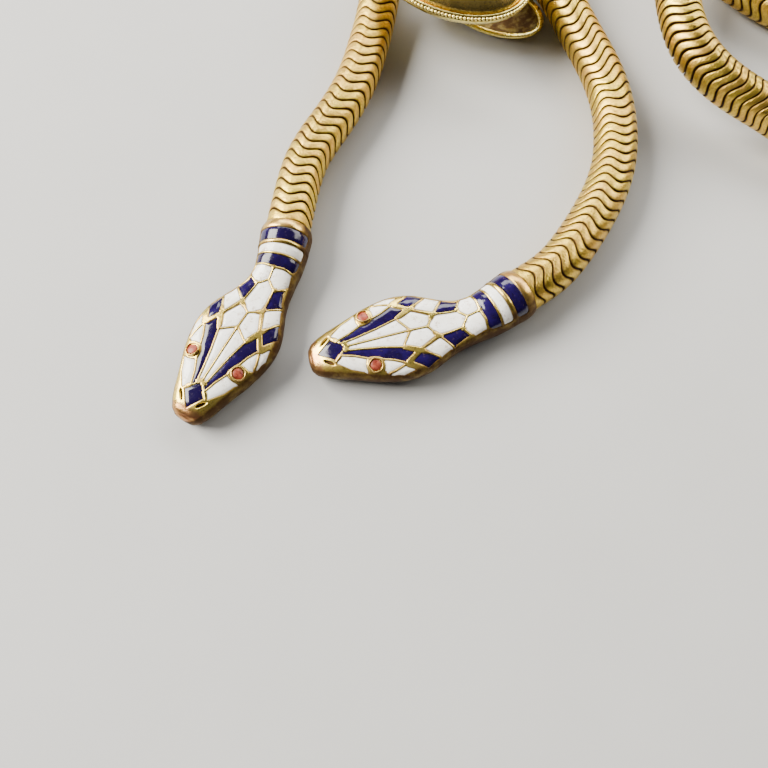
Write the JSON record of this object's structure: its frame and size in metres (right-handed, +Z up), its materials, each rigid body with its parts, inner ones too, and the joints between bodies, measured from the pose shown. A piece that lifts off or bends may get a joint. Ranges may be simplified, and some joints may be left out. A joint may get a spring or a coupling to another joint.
{
  "type": "snake necklace",
  "caption": "Round snake chain ending in two snake heads with white and blue enamel cells, both strands held by an oval domed slide.",
  "frame": {"origin": "centre of the flat oval underside of the slide's foot, on the surface the necklace lies on", "axes": "+X from the two heads' side towards the neck loop, +Y from the heads past the slide, +Z up from the surface"},
  "size_m": [0.1625, 0.1235, 0.0125],
  "materials": {
    "chain_gilt": "worn satin gilt",
    "head_metal": "antique gilt worn to copper on the snout",
    "white_enamel": "glossy",
    "blue_enamel": "glossy",
    "eye_stone": "polished cabochon",
    "slide_metal": "worn satin gilt",
    "dome_metal": "polished"
  },
  "bodies": {
    "root": {"chain_left_run": "chain_gilt", "chain_right_run": "chain_gilt", "left_head": "head_metal", "left_head_white_enamel": "white_enamel", "left_head_blue_enamel": "blue_enamel", "left_head_left_eye": "eye_stone", "left_head_right_eye": "eye_stone", "right_head": "head_metal", "right_head_white_enamel": "white_enamel", "right_head_blue_enamel": "blue_enamel", "right_head_left_eye": "eye_stone", "right_head_right_eye": "eye_stone", "slide_frame": "slide_metal", "slide_dome": "dome_metal"}
  },
  "joints": []
}
